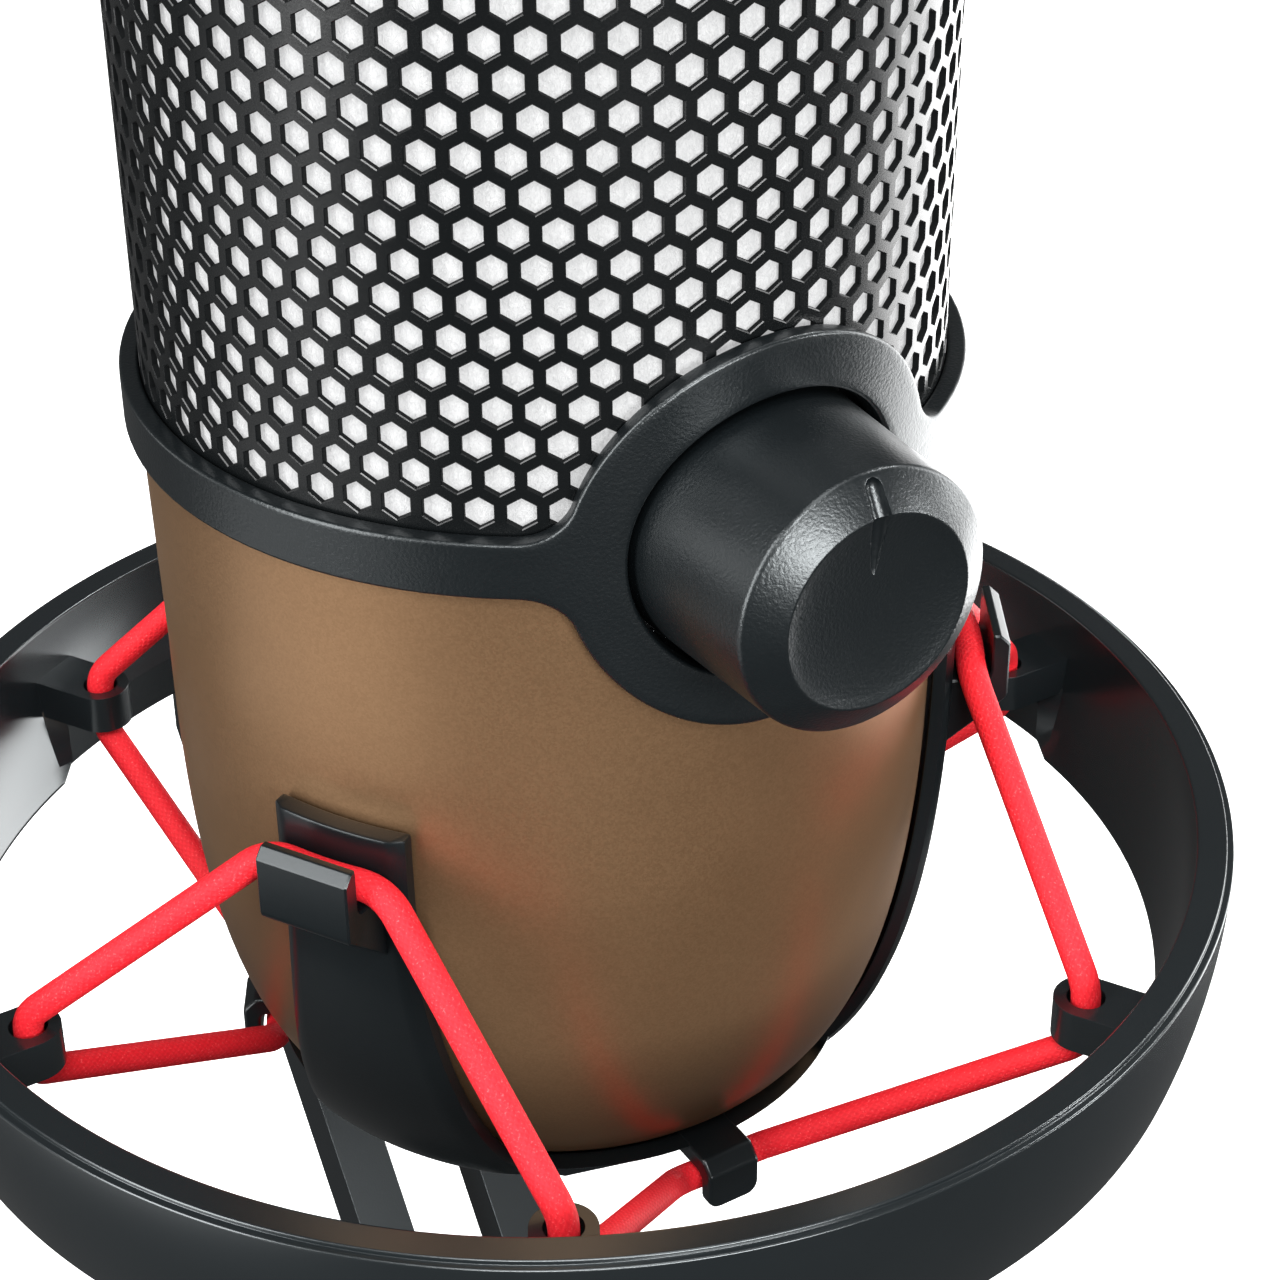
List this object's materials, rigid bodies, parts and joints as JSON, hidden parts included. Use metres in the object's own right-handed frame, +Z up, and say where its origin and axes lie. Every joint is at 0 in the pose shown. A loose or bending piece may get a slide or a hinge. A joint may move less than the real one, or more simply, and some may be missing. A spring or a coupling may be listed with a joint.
{
  "type": "desk condenser microphone",
  "caption": "Upright condenser microphone hung on an elastic cord inside a suspension ring, carried by a slotted tilting arm on a weighted round base; turning knob on the front.",
  "frame": {"origin": "middle of the base's underside, on the surface it stands on", "axes": "+Z up, the control knob faces -Y, the stand arm rises behind the microphone on the +Y side"},
  "size_m": [0.1178, 0.1225, 0.2718],
  "materials": {
    "base_black": "satin black powder coat",
    "steel": "satin",
    "rubber": "matte",
    "zinc": "blackened",
    "lock_plastic": "fine grain",
    "ring_charcoal": "satin charcoal",
    "charcoal": "fine leather-like grain",
    "bronze": "satin metallic bronze",
    "red_cord": "braided",
    "grille_black": "satin black",
    "white_foam": "matte white",
    "frame_black": "matte",
    "board_green": "satin",
    "brass": "polished"
  },
  "bodies": {
    "base": {"base_cover": "base_black", "base_weight": "steel", "base_foot_pad": "rubber", "base_screw_1": "zinc", "base_screw_2": "zinc", "base_screw_3": "zinc", "pivot_bracket": "base_black", "bracket_screw_1": "zinc", "bracket_screw_2": "zinc", "pivot_bolt": "steel"},
    "lock_knob": {"tilt_lock_knob": "lock_plastic"},
    "arm": {"stand_arm": "base_black", "arm_screw_1": "zinc", "arm_screw_2": "zinc", "suspension_ring": "ring_charcoal", "elastic_cord": "red_cord"},
    "microphone": {"cradle": "charcoal", "cradle_nut": "charcoal", "lower_shell": "bronze", "bottom_cap": "charcoal", "usb_socket": "steel", "usb_board": "board_green", "inner_frame": "frame_black", "main_board": "board_green", "board_screw_1": "zinc", "board_screw_2": "zinc", "board_screw_3": "zinc", "potentiometer": "frame_black", "control_nut": "steel", "collar": "charcoal", "grille": "grille_black", "foam_liner": "white_foam", "top_cap": "grille_black", "capsule_holder": "frame_black", "capsule_body": "brass", "capsule_front_plate": "brass", "capsule_rear_plate": "brass"},
    "control": {"gain_knob": "charcoal", "control_shaft": "steel"}
  },
  "joints": [
    {"name": "stand_tilt", "type": "hinge", "parent": "base", "child": "arm", "pos_m": [0, 0, 0.034], "axis": [1, 0, 0], "range_deg": [-12, 18]},
    {"name": "tilt_lock_knob_turn", "type": "hinge", "parent": "base", "child": "lock_knob", "pos_m": [0.016, 0, 0.034], "axis": [1, 0, 0], "range_deg": [-90, 90]},
    {"name": "suspension_bounce", "type": "slide", "parent": "arm", "child": "microphone", "axis": [0, 0, 1], "range_m": [-0.003, 0.003], "stiffness_N_per_m": 2000, "springref_m": 0.0017, "deforming": ["elastic_cord"]},
    {"name": "gain_knob_turn", "type": "hinge", "parent": "microphone", "child": "control", "pos_m": [0, -0.04, 0.1876], "axis": [0, -1, 0], "range_deg": [-145, 145]}
  ]
}
